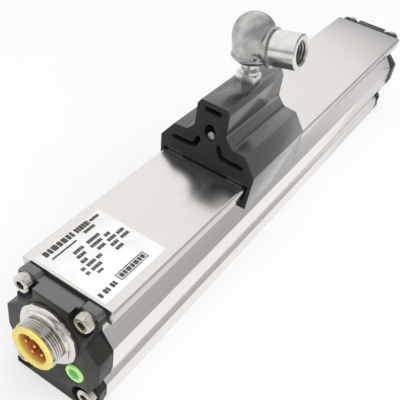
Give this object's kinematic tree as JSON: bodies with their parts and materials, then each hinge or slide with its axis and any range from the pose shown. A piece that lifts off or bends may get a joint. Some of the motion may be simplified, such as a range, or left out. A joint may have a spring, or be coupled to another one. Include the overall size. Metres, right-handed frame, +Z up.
{
  "type": "linear displacement transducer",
  "caption": "Extruded rail housing with a magnet carriage sliding on its top, an angle ball joint on the carriage and a round pin connector at one end.",
  "frame": {"origin": "middle of the housing extrusion's flat underside, half way along its length", "axes": "+X along the housing from the connector end to the rear end, +Z up through the slide rail, -Y the side that the ball joint's shank points to at rest"},
  "size_m": [0.2281, 0.0356, 0.0869],
  "materials": {
    "brushed_aluminium": "fine lengthwise brushed, clear anodised",
    "black_cast_cap": "satin black powder coat",
    "gasket_rubber": "matt",
    "steel_screws": "bright",
    "nickel_plate": "satin nickel plate",
    "yellow_plastic": "satin",
    "orange_plastic": "satin",
    "gold_contacts": "gold plated, bright",
    "green_lens": "clear gloss",
    "white_label": "satin film",
    "grey_plastic": "matt",
    "clear_grey_tube": "satin",
    "waveguide_alloy": "drawn wire",
    "green_board": "solder mask",
    "black_plastic": "satin moulded black",
    "magnet_plate": "bright nickel plate",
    "steel_joint": "turned, zinc plated",
    "spring_wire": "bright drawn wire"
  },
  "bodies": {
    "housing": {"housing_extrusion": "brushed_aluminium", "front_end_cap": "black_cast_cap", "rear_end_cap": "black_cast_cap", "front_gasket": "gasket_rubber", "rear_gasket": "gasket_rubber", "front_cap_screws": "steel_screws", "rear_cap_screws": "steel_screws", "connector_shell": "nickel_plate", "connector_seal": "gasket_rubber", "connector_insert": "yellow_plastic", "contact_carrier": "orange_plastic", "contact_pins": "gold_contacts", "status_led": "green_lens", "type_label": "white_label", "element_carrier": "grey_plastic", "waveguide_tube": "clear_grey_tube", "waveguide": "waveguide_alloy", "pickup_block": "grey_plastic", "damping_sleeve": "gasket_rubber", "circuit_board": "green_board"},
    "slider": {"slider_carriage": "black_plastic", "glide_strips": "grey_plastic", "slider_magnet": "magnet_plate", "ball_stud": "steel_joint"},
    "seat": {"ball_seat": "grey_plastic"},
    "socket": {"ball_socket": "steel_joint", "safety_clip": "spring_wire"}
  },
  "joints": [
    {"name": "slider_travel", "type": "slide", "parent": "housing", "child": "slider", "axis": [1, 0, 0], "range_m": [-0.037, 0.104]},
    {"name": "socket_swivel", "type": "hinge", "parent": "slider", "child": "seat", "pos_m": [-0.019, 0, 0.0768], "axis": [0, 0, 1], "continuous": true},
    {"name": "socket_tilt", "type": "hinge", "parent": "seat", "child": "socket", "pos_m": [-0.019, 0, 0.0768], "axis": [1, 0, 0], "range_deg": [-3, 27]}
  ]
}
